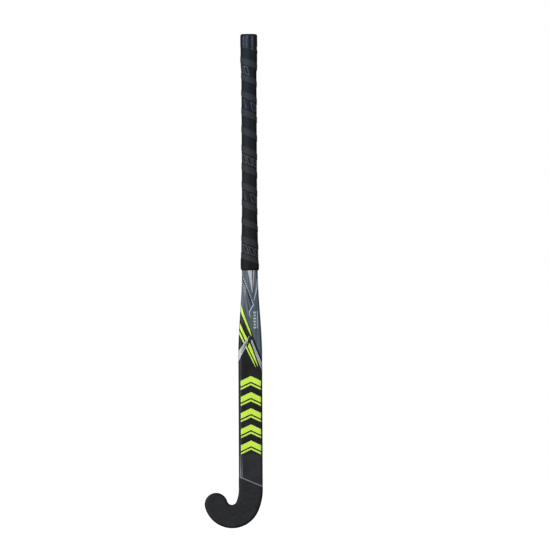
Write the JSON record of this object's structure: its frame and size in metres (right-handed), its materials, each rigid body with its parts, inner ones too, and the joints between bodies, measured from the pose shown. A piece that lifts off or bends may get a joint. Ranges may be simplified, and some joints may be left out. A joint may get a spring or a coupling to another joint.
{
  "type": "field hockey stick",
  "caption": "Long stick with a padded round grip, a bowed flat-faced blade and a short hooked head, for striking a ball along the ground.",
  "frame": {"origin": "on the handle's axis, in the middle of the parallel stretch of the grip, where it is held", "axes": "+Z along the straight handle towards the butt, the flat playing side looks along -Y, the toe points along -X and the rounded back looks along +Y"},
  "size_m": [0.1095, 0.0627, 0.927],
  "materials": {
    "laminate": "satin",
    "head_grit": "matte",
    "dense_foam": "matte",
    "light_foam": "matte",
    "bladder": "satin",
    "cap": "gloss",
    "cushion": "matte",
    "tape": "matte",
    "band": "satin",
    "grey_print": "satin",
    "silver_print": "satin",
    "yellow_print": "satin",
    "line_print": "satin"
  },
  "bodies": {
    "root": {"laminate_shell": "laminate", "head_core": "dense_foam", "shaft_core": "light_foam", "bladder_tube": "bladder", "handle_plug": "light_foam", "butt_cap": "cap", "grip_underlay": "cushion", "grip_tape": "tape", "finishing_band": "band", "face_skin": "head_grit", "panel_film": "grey_print", "panel_marks": "silver_print", "yellow_stripes": "yellow_print", "silver_stripes": "silver_print", "chevron_films": "yellow_print", "head_line": "line_print"}
  },
  "joints": []
}
